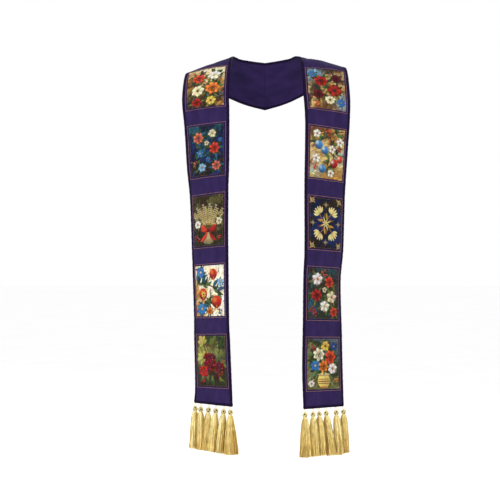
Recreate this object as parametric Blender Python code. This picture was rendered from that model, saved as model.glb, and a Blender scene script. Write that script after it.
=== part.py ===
# A clerical stole of purple cloth, in the shape it takes when it is worn.
#
# Two straight bands hang down the front and run over the shoulders, where they narrow round the
# neck and meet in a seam at the centre of the back. Each band has a dark binding along both edges
# and the hem, five cloth pictures on its face and six gold tassels below its hem.
#
# Units are metres. +Z is up, the front faces -Y and the viewer's right is +X.
# The origin is the middle of the neck, level with the tops of the shoulders.

import bisect
import math

import bmesh
import bpy
from mathutils import Matrix, Vector

# Cut of the bands
BAND_WIDTH = 0.140
BINDING_WIDTH = 0.0065
CLOTH_WALL = 0.0024
BINDING_PROUD = 0.0005
SEAM_GAP = 0.0003

# Pictures, measured up the band from its hem
PICTURE_WIDTH = 0.110
PICTURE_HEIGHT = 0.142
PICTURE_PITCH = 0.197
FIRST_PICTURE = 0.0525
PICTURE_WALL = 0.0008
PICTURE_COLUMNS = 4
ROWS_IN_PICTURES = (2, 2, 2, 4, 6)
ROWS_OVER_SHOULDER = 14

# The way each band lies on a general figure, a row for each section across it, hem first.
# x, y and z are the middle of the section in millimetres, x growing away from the neck.
# turn is the angle of the section about the upright axis, its outer end going back.
# dip is the angle by which its outer end drops, both in degrees.
# width is the section's width and bow how far its middle stands out, in millimetres.
SECTION_COLUMNS = ("x", "y", "z", "turn", "dip", "width", "bow")
SECTIONS = {
    "right": (
        (162.8, -125, -1005.5, 33, 0, 140, 2),
        (159.6, -125, -899, 33, 2, 140, 3),
        (159.2, -125, -773, 36, 2.5, 140, 4),
        (158.6, -125, -644, 39, 3, 140, 5),
        (163.3, -125, -562, 36, 3.5, 140, 5),
        (166.1, -125, -394, 32, 4.5, 140, 5),
        (171.0, -122, -270, 27, 5.5, 140, 5),
        (173.8, -115, -191, 22, 5.5, 140, 5),
        (173.0, -84, -118, 14, 5, 140, 5),
        (169.4, -22, -37, 15.5, 4, 140, 5),
        (162.5, 12, -17.5, 18, 10, 140, 5),
        (151.0, 38, -20, 25, 17, 140, 5),
        (128.0, 66, -32, 42, 29, 140, 5),
        (98.0, 88, -48, 60, 42, 140, 4),
        (52.0, 105, -64, 76, 55, 145, 3),
        (0.0, 112, -76, 90, 62, 150, 2),
    ),
    "left": (
        (148.9, -125, -997.2, 38, -1, 140, 2),
        (148.5, -125, -949.8, 41, 1.5, 140, 3),
        (153.1, -125, -798.2, 43, 3, 140, 4),
        (154.1, -125, -753.3, 44, 2.5, 140, 5),
        (157.2, -125, -604.4, 42, 3.5, 140, 5),
        (160.8, -125, -410.7, 38, 4.5, 140, 5),
        (163.7, -122, -323.5, 30, 5, 140, 5),
        (166.9, -115, -210.4, 23, 5, 140, 5),
        (171.5, -84, -125, 14, 6.5, 140, 5),
        (167.2, -22, -47, 16, 8, 140, 5),
        (160.5, 11, -28, 18, 17, 140, 5),
        (149.5, 36, -30, 25, 25, 140, 5),
        (127.0, 65, -40, 42, 34, 140, 5),
        (98.0, 87, -52, 60, 44, 140, 4),
        (52.0, 104.5, -66, 76, 56, 145, 3),
        (0.0, 112, -76, 90, 62, 150, 2),
    ),
}

# Tassels below each hem, a row for each. across is its place from the hem's middle, positive
# outward, length its drop and spread half the width of its skirt's end, all in millimetres.
# lean is the angle by which it swings outward, in degrees.
TASSEL_COLUMNS = ("across", "lean", "length", "spread")
TASSELS = {
    "right": (
        (-65, 0.8, 134, 16.0),
        (-40, 3.3, 133, 13.3),
        (-19, 5.2, 133, 11.3),
        (6, 7.6, 136, 14.5),
        (40, 5.2, 136, 12.3),
        (68.5, 3.2, 133, 10.0),
    ),
    "left": (
        (-61, -2.0, 133, 19.0),
        (-39.5, 6.0, 133, 13.5),
        (-13.5, 6.3, 132, 12.3),
        (15.5, 4.8, 131, 10.2),
        (43, 1.5, 131, 9.3),
        (66, 1.8, 129, 12.5),
    ),
}

# A tassel's head, drawn from the locks' roots up, as drop below the hem and radius
HEAD_RINGS = (
    (0.0290, 0.0062),
    (0.0250, 0.0052),
    (0.0225, 0.0036),
    (0.0200, 0.0056),
    (0.0155, 0.0066),
    (0.0105, 0.0054),
    (0.0080, 0.0018),
    (0.0000, 0.0015),
)
LOCKS_ACROSS = 4
LOCK_INSET = 0.11
# Half the width of a skirt below its gathers
SKIRT_SHOULDER = 0.0098
# The two lower sections of the locks, as share of the skirt's drop, share of its flare from
# shoulder to end, and half thickness of a lock as a share of half the skirt's width
LOCK_SECTIONS = (
    (0.22, 0.0, 0.13),
    (1.00, 1.0, 0.14),
)

SHARP_ANGLE = math.radians(40)
COLOURS = {
    "purple_cloth": (0.048, 0.024, 0.105, 1.0),
    "dark_binding": (0.010, 0.004, 0.028, 1.0),
    "picture_cloth": (0.42, 0.33, 0.20, 1.0),
    "gold_thread": (0.78, 0.56, 0.20, 1.0),
}
ROUGHNESS = {
    "purple_cloth": 0.75,
    "dark_binding": 0.55,
    "picture_cloth": 0.7,
    "gold_thread": 0.45,
}


class Band:
    """One half of the stole as a surface, by distance up from its hem and place across it."""

    FINE_STEPS = 40
    DIFFERENCE = 0.0005

    def __init__(self, side):
        self.sign = 1 if side == "right" else -1
        rows = [dict(zip(SECTION_COLUMNS, row)) for row in SECTIONS[side]]
        self.values = [
            (r["x"] / 1000, r["y"] / 1000, r["z"] / 1000)
            + (math.radians(r["turn"]), math.radians(r["dip"]))
            + (r["width"] / 1000, r["bow"] / 1000)
            for r in rows
        ]
        self.knots = [0.0]
        for low, high in zip(self.values, self.values[1:]):
            self.knots.append(self.knots[-1] + math.dist(low[:3], high[:3]))
        self.measure()

    def section(self, knot):
        """Values of the section at a knot value, on a smooth curve through the rows."""
        last = len(self.knots) - 2
        i = min(max(bisect.bisect_right(self.knots, knot) - 1, 0), last)
        span = self.knots[i + 1] - self.knots[i]
        t = (knot - self.knots[i]) / span
        h00 = 2 * t**3 - 3 * t**2 + 1
        h10 = t**3 - 2 * t**2 + t
        h01 = -2 * t**3 + 3 * t**2
        h11 = t**3 - t**2
        slopes = (self.slope(i), self.slope(i + 1))
        return [
            h00 * a + h10 * span * s + h01 * b + h11 * span * e
            for a, b, s, e in zip(self.values[i], self.values[i + 1], *slopes)
        ]

    def slope(self, i):
        """Rate of change of every value at a row, from its neighbours."""
        low = max(i - 1, 0)
        high = min(i + 1, len(self.knots) - 1)
        run = self.knots[high] - self.knots[low]
        return [(b - a) / run for a, b in zip(self.values[low], self.values[high])]

    def measure(self):
        """Distances along the middle of the band, so that places on it are real lengths."""
        self.fine_knots = [0.0]
        self.fine_distances = [0.0]
        before = Vector(self.section(0.0)[:3])
        for low, high in zip(self.knots, self.knots[1:]):
            for step in range(1, self.FINE_STEPS + 1):
                knot = low + (high - low) * step / self.FINE_STEPS
                here = Vector(self.section(knot)[:3])
                self.fine_knots.append(knot)
                self.fine_distances.append(self.fine_distances[-1] + (here - before).length)
                before = here
        self.length = self.fine_distances[-1]

    def knot_at(self, distance):
        i = bisect.bisect_right(self.fine_distances, distance) - 1
        i = min(max(i, 0), len(self.fine_distances) - 2)
        low, high = self.fine_distances[i : i + 2]
        share = (distance - low) / (high - low)
        return self.fine_knots[i] + share * (self.fine_knots[i + 1] - self.fine_knots[i])

    def ruled(self, distance, across):
        """A point on the straight line across the band, before its bow."""
        x, y, z, turn, dip, width, _ = self.section(self.knot_at(distance))
        level = math.cos(dip)
        outward = Vector((math.cos(turn) * level, math.sin(turn) * level, -math.sin(dip)))
        point = Vector((x, y, z)) + outward * (across * width / BAND_WIDTH)
        point.x *= self.sign
        return point

    def surface(self, distance, across):
        """A point on the band's face, whose middle stands out by its bow."""
        bow = self.section(self.knot_at(distance))[-1]
        place = across / (BAND_WIDTH / 2)
        out = self.facing(self.ruled, distance, 0.0)
        return self.ruled(distance, across) + out * (bow * (1 - place * place))

    def facing(self, shape, distance, across):
        """Outward direction of a shape at a place, flat in the seam's plane at the band's end."""
        step = self.DIFFERENCE
        low = max(distance - step, 0.0)
        high = min(distance + step, self.length)
        along = shape(high, across) - shape(low, across)
        sideways = shape(distance, across + step) - shape(distance, across - step)
        out = sideways.cross(along) * self.sign
        if self.at_seam(distance):
            out.x = 0.0
        return out.normalized()

    def at_seam(self, distance):
        return distance > self.length - self.DIFFERENCE

    def point(self, distance, across, lift=0.0):
        out = self.facing(self.surface, distance, across)
        point = self.surface(distance, across) + out * lift
        if self.at_seam(distance):
            point.x = self.sign * SEAM_GAP / 2
        return point


def spread(low, high, cells):
    return [low + (high - low) * i / cells for i in range(cells + 1)]


def picture_rows(number):
    """Distances up the band across which picture number runs, counted from the hem."""
    low = FIRST_PICTURE + PICTURE_PITCH * number
    return spread(low, low + PICTURE_HEIGHT, ROWS_IN_PICTURES[number])


def picture_columns():
    return spread(-PICTURE_WIDTH / 2, PICTURE_WIDTH / 2, PICTURE_COLUMNS)


def band_rows(band):
    """Distances of the sections of a band and its bindings, shared so that they match."""
    rows = [BINDING_WIDTH + SEAM_GAP]
    for number in range(len(ROWS_IN_PICTURES)):
        rows += picture_rows(number)
    rows += spread(rows[-1], band.length, ROWS_OVER_SHOULDER)[1:]
    return rows


def cloth_columns():
    """Places across a band's cloth, with the pictures' columns among them."""
    edge = BAND_WIDTH / 2 - BINDING_WIDTH - SEAM_GAP
    return [-edge] + picture_columns() + [edge]


def collection(name):
    made = bpy.data.collections.new(name)
    bpy.context.scene.collection.children.link(made)
    return made


def principled(name):
    made = bpy.data.materials.new(name)
    made.use_nodes = True
    shader = made.node_tree.nodes["Principled BSDF"]
    shader.inputs["Base Color"].default_value = COLOURS[name]
    shader.inputs["Roughness"].default_value = ROUGHNESS[name]
    shader.inputs["Metallic"].default_value = 0.0
    made.diffuse_color = COLOURS[name]
    return made


def add_object(name, bm, material, parent, group):
    """Turns a finished mesh into an object of its own under the stole's empty."""
    bm.normal_update()
    bmesh.ops.recalc_face_normals(bm, faces=bm.faces[:])
    mesh = bpy.data.meshes.new(name)
    bm.to_mesh(mesh)
    bm.free()
    mesh.shade_smooth()
    mesh.set_sharp_from_angle(angle=SHARP_ANGLE)
    made = bpy.data.objects.new(name, mesh)
    made.data.materials.append(material)
    made.parent = parent
    group.objects.link(made)
    return made


def lattice(columns, rows):
    """A flat box of grid cells from 0 to 1 in x, y and z, closed all round."""
    bm = bmesh.new()
    bmesh.ops.create_grid(bm, x_segments=columns, y_segments=rows, size=0.5)
    bmesh.ops.translate(bm, verts=bm.verts[:], vec=(0.5, 0.5, 0.0))
    raised = bmesh.ops.extrude_face_region(bm, geom=bm.faces[:], use_keep_orig=True)
    top = [g for g in raised["geom"] if isinstance(g, bmesh.types.BMVert)]
    bmesh.ops.translate(bm, verts=top, vec=(0.0, 0.0, 1.0))
    return bm


def cloth_piece(band, rows, columns, lift, wall):
    """A wall of cloth on a band, between the distances in rows and the places in columns."""
    bm = lattice(len(columns) - 1, len(rows) - 1)
    for vertex in bm.verts:
        across = columns[round(vertex.co.x * (len(columns) - 1))]
        distance = rows[round(vertex.co.y * (len(rows) - 1))]
        vertex.co = band.point(distance, across, lift + wall * vertex.co.z)
    return bm


def add_band(side, band, parent, group, materials):
    """The cloth, its three bindings and its five pictures."""
    rows = band_rows(band)
    cloth = materials["purple_cloth"]
    binding = materials["dark_binding"]
    bm = cloth_piece(band, rows, cloth_columns(), -CLOTH_WALL, CLOTH_WALL)
    add_object(f"band_{side}", bm, cloth, parent, group)

    edge = BAND_WIDTH / 2
    lift = -CLOTH_WALL - BINDING_PROUD
    wall = CLOTH_WALL + 2 * BINDING_PROUD
    inner = [-edge, -edge + BINDING_WIDTH]
    outer = [edge - BINDING_WIDTH, edge]
    bm = cloth_piece(band, rows, inner, lift, wall)
    add_object(f"binding_inner_{side}", bm, binding, parent, group)
    bm = cloth_piece(band, rows, outer, lift, wall)
    add_object(f"binding_outer_{side}", bm, binding, parent, group)
    across_hem = [-edge] + cloth_columns() + [edge]
    bm = cloth_piece(band, [0.0, BINDING_WIDTH], across_hem, lift, wall)
    add_object(f"binding_hem_{side}", bm, binding, parent, group)

    total = len(ROWS_IN_PICTURES)
    for number in range(total):
        bm = cloth_piece(band, picture_rows(number), picture_columns(), SEAM_GAP, PICTURE_WALL)
        name = f"picture_{side}_{total - number}"
        add_object(name, bm, materials["picture_cloth"], parent, group)


def disc(u, v):
    """A square from -1 to 1 pulled round to a disc of radius 1."""
    return Vector((u * math.sqrt(1 - v * v / 2), v * math.sqrt(1 - u * u / 2), 0.0))


def tassel(length, spread_out):
    """A head turned in rings, whose underside runs on down as separate locks.

    The mesh is first laid out on a square grid, one level up for each ring of the head and one
    level down for each section of the locks, and every level is then drawn to its own size.
    """
    bm = bmesh.new()
    bmesh.ops.create_grid(bm, x_segments=LOCKS_ACROSS, y_segments=LOCKS_ACROSS, size=1.0)
    cells = bm.faces[:]
    rim = [e for e in bm.edges if e.is_boundary]
    for _ in HEAD_RINGS[1:]:
        raised = bmesh.ops.extrude_edge_only(bm, edges=rim)["geom"]
        top = [g for g in raised if isinstance(g, bmesh.types.BMVert)]
        bmesh.ops.translate(bm, verts=top, vec=(0.0, 0.0, 1.0))
        rim = [g for g in raised if isinstance(g, bmesh.types.BMEdge) and g.is_boundary]
    bmesh.ops.holes_fill(bm, edges=rim, sides=0)
    bmesh.ops.inset_individual(bm, faces=cells, thickness=LOCK_INSET)
    for _ in LOCK_SECTIONS:
        cells = bmesh.ops.extrude_discrete_faces(bm, faces=cells)["faces"]
        ends = {v for face in cells for v in face.verts}
        bmesh.ops.translate(bm, verts=list(ends), vec=(0.0, 0.0, -1.0))
    for vertex in bm.verts:
        vertex.co = tassel_point(vertex.co, length, spread_out)
    return bm


def tassel_point(place, length, spread_out):
    """Real place of a point of the tassel's square layout."""
    level = round(place.z)
    if level >= 0:
        drop, radius = HEAD_RINGS[level]
        point = disc(place.x, place.y) * radius
        point.z = -drop
        return point
    share, flare, thickness = LOCK_SECTIONS[-level - 1]
    width = SKIRT_SHOULDER + (spread_out - SKIRT_SHOULDER) * flare
    cell = 2 / LOCKS_ACROSS
    u = (math.floor(place.x / cell) + 0.5) * cell
    v = (math.floor(place.y / cell) + 0.5) * cell
    half = thickness * width
    point = disc(u, v) * (width - half) / disc(1 - cell / 2, cell / 2).x
    point.x += math.copysign(half, place.x - u)
    point.y += math.copysign(half, place.y - v)
    root = HEAD_RINGS[0][0]
    point.z = -(root + (length - root) * share)
    return point


def add_tassels(side, band, parent, group, material):
    """Six tassels, each hung just below the hem and swung a little outward."""
    hem_turn = band.section(0.0)[3]
    for number, row in enumerate(TASSELS[side], start=1):
        values = dict(zip(TASSEL_COLUMNS, row))
        bm = tassel(values["length"] / 1000, values["spread"] / 1000)
        made = add_object(f"tassel_{side}_{number}", bm, material, parent, group)
        hung = band.point(0.0, values["across"] / 1000, -CLOTH_WALL / 2)
        hung.z -= 2 * SEAM_GAP
        turn = Matrix.Rotation(band.sign * hem_turn, 4, "Z")
        lean = Matrix.Rotation(-band.sign * math.radians(values["lean"]), 4, "Y")
        made.matrix_local = Matrix.Translation(hung) @ turn @ lean


def main():
    for old in list(bpy.data.objects):
        bpy.data.objects.remove(old, do_unlink=True)
    group = collection("clerical_stole")
    neck_rest = bpy.data.objects.new("neck_rest", None)
    group.objects.link(neck_rest)
    materials = {name: principled(name) for name in COLOURS}
    for side in SECTIONS:
        band = Band(side)
        add_band(side, band, neck_rest, group, materials)
        add_tassels(side, band, neck_rest, group, materials["gold_thread"])


main()
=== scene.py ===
# Visual model of a clerical stole of purple cloth, dressed over its imported solids.
#
# Each band is a shell of woven cloth with creases listed one by one. Its bindings, painted cloth
# pictures, stitches and tassels all follow the same surface.
#
# Units are metres unless a name says otherwise. +Z is up, the front faces -Y and the origin is
# the middle of the neck.

import math

import bpy
import numpy as np
from mathutils import Euler, Matrix, Vector


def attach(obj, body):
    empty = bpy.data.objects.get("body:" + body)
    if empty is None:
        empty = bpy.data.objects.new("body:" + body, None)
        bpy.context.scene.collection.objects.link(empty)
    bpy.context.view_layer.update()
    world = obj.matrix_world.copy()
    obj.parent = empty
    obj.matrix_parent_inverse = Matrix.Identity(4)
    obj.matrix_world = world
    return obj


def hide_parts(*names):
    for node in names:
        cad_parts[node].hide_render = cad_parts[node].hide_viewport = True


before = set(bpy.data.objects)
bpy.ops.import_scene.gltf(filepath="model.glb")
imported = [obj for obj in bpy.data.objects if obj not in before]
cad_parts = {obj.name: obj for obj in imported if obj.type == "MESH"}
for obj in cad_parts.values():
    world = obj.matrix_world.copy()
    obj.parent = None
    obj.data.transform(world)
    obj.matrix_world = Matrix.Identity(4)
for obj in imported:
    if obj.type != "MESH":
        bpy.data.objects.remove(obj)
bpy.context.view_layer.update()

MM = 0.001
DEGREE = math.radians(1)

# Cut of the bands, as in the solids
BAND_WIDTH = 0.140
BINDING_WIDTH = 0.0065
CLOTH_WALL = 0.0024
SEAM_GAP = 0.0003
SEAM_OVERLAP = 0.00015
PICTURE_WIDTH = 0.110
PICTURE_HEIGHT = 0.142
PICTURE_PITCH = 0.197
FIRST_PICTURE = 0.0525
PICTURES = 5

# How high the bindings' pull puckers the cloth and how far in, and the length of band next to
# the neck's seam that lies still
PUCKER = 0.00022
PUCKER_REACH = 0.011
STILL_END = 0.03

# The way each band lies on a general figure, a row for each section across it, hem first.
# x, y and z are the middle of the section in millimetres, x growing away from the neck.
# turn is the angle of the section about the upright axis, its outer end going back.
# dip is the angle by which its outer end drops, both in degrees.
# width is the section's width and bow how far its middle stands out, in millimetres.
SECTION_COLUMNS = {"x": MM, "y": MM, "z": MM, "turn": DEGREE, "dip": DEGREE, "width": MM, "bow": MM}
SECTIONS = {
    "right": (
        (162.8, -125, -1005.5, 33, 0, 140, 2),
        (159.6, -125, -899, 33, 2, 140, 3),
        (159.2, -125, -773, 36, 2.5, 140, 4),
        (158.6, -125, -644, 39, 3, 140, 5),
        (163.3, -125, -562, 36, 3.5, 140, 5),
        (166.1, -125, -394, 32, 4.5, 140, 5),
        (171.0, -122, -270, 27, 5.5, 140, 5),
        (173.8, -115, -191, 22, 5.5, 140, 5),
        (173.0, -84, -118, 14, 5, 140, 5),
        (169.4, -22, -37, 15.5, 4, 140, 5),
        (162.5, 12, -17.5, 18, 10, 140, 5),
        (151.0, 38, -20, 25, 17, 140, 5),
        (128.0, 66, -32, 42, 29, 140, 5),
        (98.0, 88, -48, 60, 42, 140, 4),
        (52.0, 105, -64, 76, 55, 145, 3),
        (0.0, 112, -76, 90, 62, 150, 2),
    ),
    "left": (
        (148.9, -125, -997.2, 38, -1, 140, 2),
        (148.5, -125, -949.8, 41, 1.5, 140, 3),
        (153.1, -125, -798.2, 43, 3, 140, 4),
        (154.1, -125, -753.3, 44, 2.5, 140, 5),
        (157.2, -125, -604.4, 42, 3.5, 140, 5),
        (160.8, -125, -410.7, 38, 4.5, 140, 5),
        (163.7, -122, -323.5, 30, 5, 140, 5),
        (166.9, -115, -210.4, 23, 5, 140, 5),
        (171.5, -84, -125, 14, 6.5, 140, 5),
        (167.2, -22, -47, 16, 8, 140, 5),
        (160.5, 11, -28, 18, 17, 140, 5),
        (149.5, 36, -30, 25, 25, 140, 5),
        (127.0, 65, -40, 42, 34, 140, 5),
        (98.0, 87, -52, 60, 44, 140, 4),
        (52.0, 104.5, -66, 76, 56, 145, 3),
        (0.0, 112, -76, 90, 62, 150, 2),
    ),
}

# Creases, a row for each: its middle as distance up from the hem and place across,
# its length and width, all in millimetres, its angle from the band's run in degrees, and how far
# it stands out, in millimetres, less than nothing for a trough.
CREASE_COLUMNS = {"middle": MM, "across": MM, "length": MM, "width": MM, "angle": DEGREE, "rise": MM}
CREASES = {
    "right": (
        (18, -30, 70, 15, 6, 1.7),
        (22, 8, 60, 13, -5, -1.5),
        (15, 42, 75, 14, 4, 1.4),
        (150, -12, 120, 30, 5, 1.2),
        (232, 22, 60, 22, 62, -1.4),
        (255, -34, 110, 20, -6, -1.3),
        (338, 34, 130, 24, 7, 1.4),
        (428, -8, 62, 17, 74, 1.5),
        (470, 5, 150, 32, -4, -1.3),
        (610, -28, 140, 24, 6, 1.3),
        (626, 24, 54, 15, -66, -1.4),
        (735, 28, 140, 24, -8, -1.4),
        (824, -22, 58, 14, 68, -1.7),
        (838, 12, 70, 17, 58, 1.5),
        (905, 30, 60, 15, 48, -1.6),
        (968, -34, 44, 10, 70, -1.8),
        (984, 18, 56, 13, -72, 1.6),
        (1022, -26, 46, 9, 66, 1.7),
        (1046, -40, 40, 7, 58, -1.9),
        (1072, 16, 70, 15, -64, -1.4),
        (1103, -34, 52, 9, 52, 1.8),
        (1136, -12, 66, 12, 40, -1.6),
        (1168, 30, 60, 16, -40, 1.5),
        (1206, -28, 50, 11, 24, -1.5),
    ),
    "left": (
        (12, -46, 60, 12, 5, -1.5),
        (20, -18, 64, 13, -4, 1.9),
        (16, 14, 56, 12, 3, -1.8),
        (20, 44, 70, 14, -6, 1.5),
        (168, 20, 130, 28, -5, 1.3),
        (226, -20, 58, 17, 68, 1.4),
        (262, 32, 120, 22, 7, -1.3),
        (352, -32, 130, 24, -6, 1.3),
        (420, 24, 56, 15, -72, -1.6),
        (452, -4, 150, 32, 4, -1.2),
        (566, 32, 130, 22, -7, 1.4),
        (622, -18, 60, 16, 70, 1.5),
        (700, -26, 150, 24, 8, -1.4),
        (808, 20, 60, 15, -62, 1.6),
        (822, -26, 56, 13, -70, -1.6),
        (884, 34, 62, 15, 52, -1.5),
        (948, -30, 44, 10, -66, 1.8),
        (962, 16, 58, 13, 74, -1.5),
        (1001, -38, 42, 8, 62, -1.9),
        (1026, 24, 66, 14, -68, 1.5),
        (1058, -30, 48, 9, 55, 1.7),
        (1094, -6, 62, 13, -46, -1.6),
        (1128, 32, 66, 16, 38, 1.4),
        (1170, -30, 48, 10, -30, -1.6),
    ),
}

# Tassels below each hem, a row for each. across is its place from the hem's middle, positive
# outward, and lean the angle by which it swings outward, in degrees. length is its drop and
# spread half the width of its skirt's end, which stay in millimetres.
TASSEL_COLUMNS = {"across": MM, "lean": DEGREE, "length": 1, "spread": 1}
TASSELS = {
    "right": (
        (-65, 0.8, 134, 16.0),
        (-40, 3.3, 133, 13.3),
        (-19, 5.2, 133, 11.3),
        (6, 7.6, 136, 14.5),
        (40, 5.2, 136, 12.3),
        (68.5, 3.2, 133, 10.0),
    ),
    "left": (
        (-61, -2.0, 133, 19.0),
        (-39.5, 6.0, 133, 13.5),
        (-13.5, 6.3, 132, 12.3),
        (15.5, 4.8, 131, 10.2),
        (43, 1.5, 131, 9.3),
        (66, 1.8, 129, 12.5),
    ),
}

# Colours of cloth, thread and paint, as red, green and blue from 0 to 255
COLOURS = {
    "gold_pale": (255, 244, 182),
    "gold_mid": (236, 206, 112),
    "gold_deep": (182, 126, 38),
    "gold_knot_shade": (66, 54, 28),
    "copper": (166, 116, 98),
    "plum_thread": (54, 36, 82),
    "tan_thread": (150, 122, 92),
    "ivory": (244, 238, 218),
    "cream": (232, 218, 178),
    "sand": (204, 178, 126),
    "ochre": (172, 126, 62),
    "brown": (104, 68, 42),
    "umber": (50, 38, 28),
    "olive": (96, 94, 50),
    "leaf": (68, 96, 54),
    "moss": (44, 56, 38),
    "lime": (172, 168, 84),
    "night": (22, 26, 50),
    "indigo": (36, 48, 104),
    "royal": (44, 66, 142),
    "blue": (60, 118, 176),
    "sky": (140, 186, 214),
    "teal": (40, 84, 96),
    "slate": (84, 92, 100),
    "sage": (128, 132, 98),
    "straw": (246, 224, 150),
    "yellow": (226, 190, 84),
    "orange": (214, 116, 48),
    "scarlet": (204, 66, 44),
    "red": (160, 36, 32),
    "wine": (92, 24, 32),
    "salmon": (208, 108, 86),
}


def table(rows, columns):
    """Rows of numbers in metres and radians, by the units of their columns."""
    return np.array(rows, dtype=float) * list(columns.values())


def linear(colour):
    """Scene-linear values of a named colour or of one from 0 to 255."""
    share = np.asarray(COLOURS[colour] if isinstance(colour, str) else colour) / 255
    return np.where(share <= 0.04045, share / 12.92, ((share + 0.055) / 1.055) ** 2.4)


def unit(vectors):
    """The same directions, one long."""
    return vectors / np.linalg.norm(vectors, axis=-1, keepdims=True)


def running_total(steps):
    return np.concatenate([[0.0], np.cumsum(steps)])


class Band:
    """One half of the stole as a surface, by distance up from its hem and place across it."""

    FINE_STEPS = 40
    DIFFERENCE = 0.0005

    def __init__(self, side):
        self.side = side
        self.sign = 1 if side == "right" else -1
        self.values = table(SECTIONS[side], SECTION_COLUMNS)
        self.knots = running_total(np.linalg.norm(np.diff(self.values[:, :3], axis=0), axis=1))
        rows = np.arange(len(self.knots))
        low, high = np.maximum(rows - 1, 0), np.minimum(rows + 1, rows[-1])
        run = self.knots[high] - self.knots[low]
        self.slopes = (self.values[high] - self.values[low]) / run[:, None]
        shares = np.arange(self.FINE_STEPS) / self.FINE_STEPS
        fine = self.knots[:-1, None] + np.diff(self.knots)[:, None] * shares
        self.fine_knots = np.append(fine.ravel(), self.knots[-1])
        middles = self.section(self.fine_knots)[..., :3]
        self.fine_distances = running_total(np.linalg.norm(np.diff(middles, axis=0), axis=1))
        self.length = self.fine_distances[-1]

    def section(self, knot):
        """Values of the section at knot values, on a smooth curve through the rows."""
        i = np.clip(np.searchsorted(self.knots, knot, side="right") - 1, 0, len(self.knots) - 2)
        span = (self.knots[i + 1] - self.knots[i])[..., None]
        t = (knot - self.knots[i])[..., None] / span
        low = (2 * t**3 - 3 * t**2 + 1) * self.values[i]
        low = low + (t**3 - 2 * t**2 + t) * span * self.slopes[i]
        high = (-2 * t**3 + 3 * t**2) * self.values[i + 1]
        return low + high + (t**3 - t**2) * span * self.slopes[i + 1]

    def at(self, distance):
        return self.section(np.interp(distance, self.fine_distances, self.fine_knots))

    def ruled(self, distance, across):
        """Points on the straight lines across the band, before its bow."""
        x, y, z, turn, dip, width, _ = np.moveaxis(self.at(distance), -1, 0)
        reach = across * width / BAND_WIDTH
        level = np.cos(dip) * reach
        x = (x + np.cos(turn) * level) * self.sign
        return np.stack([x, y + np.sin(turn) * level, z - np.sin(dip) * reach], axis=-1)

    def surface(self, distance, across):
        """Points on the band's face, with its bow and creases."""
        place = across / (BAND_WIDTH / 2)
        out = self.facing(self.ruled, distance, across * 0)
        rise = self.at(distance)[..., -1] * (1 - place * place) + self.creases(distance, across)
        return self.ruled(distance, across) + out * rise[..., None]

    def creases(self, distance, across):
        """How far the creases and the pull of the bindings move the face outward."""
        edge = BAND_WIDTH / 2 - np.abs(across)
        pull = np.sin(distance * 390 + across * 60) + 0.7 * np.sin(distance * 233 - across * 45 + 1)
        rise = PUCKER * pull * np.exp(-edge / PUCKER_REACH)
        for middle, place, length, width, angle, height in table(CREASES[self.side], CREASE_COLUMNS):
            up, over = distance - middle, across - place
            along = up * math.cos(angle) + over * math.sin(angle)
            beside = over * math.cos(angle) - up * math.sin(angle) + 0.12 * along * along / length
            rise = rise + height * np.exp(-((along / length) ** 2) - (beside / width) ** 2)
        # Nothing moves where the two halves are sewn together
        return rise * (1 - np.exp(-(((self.length - distance) / STILL_END) ** 2)))

    def facing(self, shape, distance, across):
        """Outward direction of a shape, flat in the seam's plane at the band's end."""
        step = self.DIFFERENCE
        low = np.maximum(distance - step, 0.0)
        high = np.minimum(distance + step, self.length)
        along = shape(high, across) - shape(low, across)
        sideways = shape(distance, across + step) - shape(distance, across - step)
        out = np.cross(sideways, along) * self.sign
        out[..., 0] = np.where(self.at_seam(distance), 0.0, out[..., 0])
        return unit(out)

    def at_seam(self, distance):
        return distance > self.length - self.DIFFERENCE

    def place(self, distance, across, lift=0.0):
        """Points at a height over the band's face, and the outward directions there."""
        distance, across, lift = np.broadcast_arrays(distance, across, lift)
        out = self.facing(self.surface, distance, across)
        points = self.surface(distance, across) + out * lift[..., None]
        points[..., 0] = np.where(self.at_seam(distance), -self.sign * SEAM_OVERLAP, points[..., 0])
        return points, out


# Building pieces

def loft(rings):
    """Faces of closed skins over rings of points, from an array of skins, rings, points."""
    skins, count, around = rings.shape[:3]
    index = np.arange(skins * count * around).reshape(skins, count, around)
    turned = np.roll(index, -1, axis=2)
    walls = np.stack([index[:, :-1], turned[:, :-1], turned[:, 1:], index[:, 1:]], axis=-1)
    i = np.arange(around // 2 - 1)
    cap = np.stack([i, around - 1 - i, around - 2 - i, i + 1], axis=-1)
    low = index[:, 0][:, cap]
    high = index[:, -1][:, cap[:, ::-1]]
    return np.concatenate([part.reshape(-1, 4) for part in (walls, low, high)])


def lattice(rows, columns):
    """Faces of an open sheet of points in rows and columns."""
    index = np.arange(rows * columns).reshape(rows, columns)
    corners = [index[:-1, :-1], index[:-1, 1:], index[1:, 1:], index[1:, :-1]]
    return np.stack(corners, axis=-1).reshape(-1, 4)


def grid(across, along):
    """Cloth places of points in rows along a piece and columns across it."""
    return np.stack(np.broadcast_arrays(across[None, :], along[:, None]), axis=-1)


def rows_between(low, high, step):
    return np.linspace(low, high, math.ceil((high - low) / step) + 1)


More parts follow.
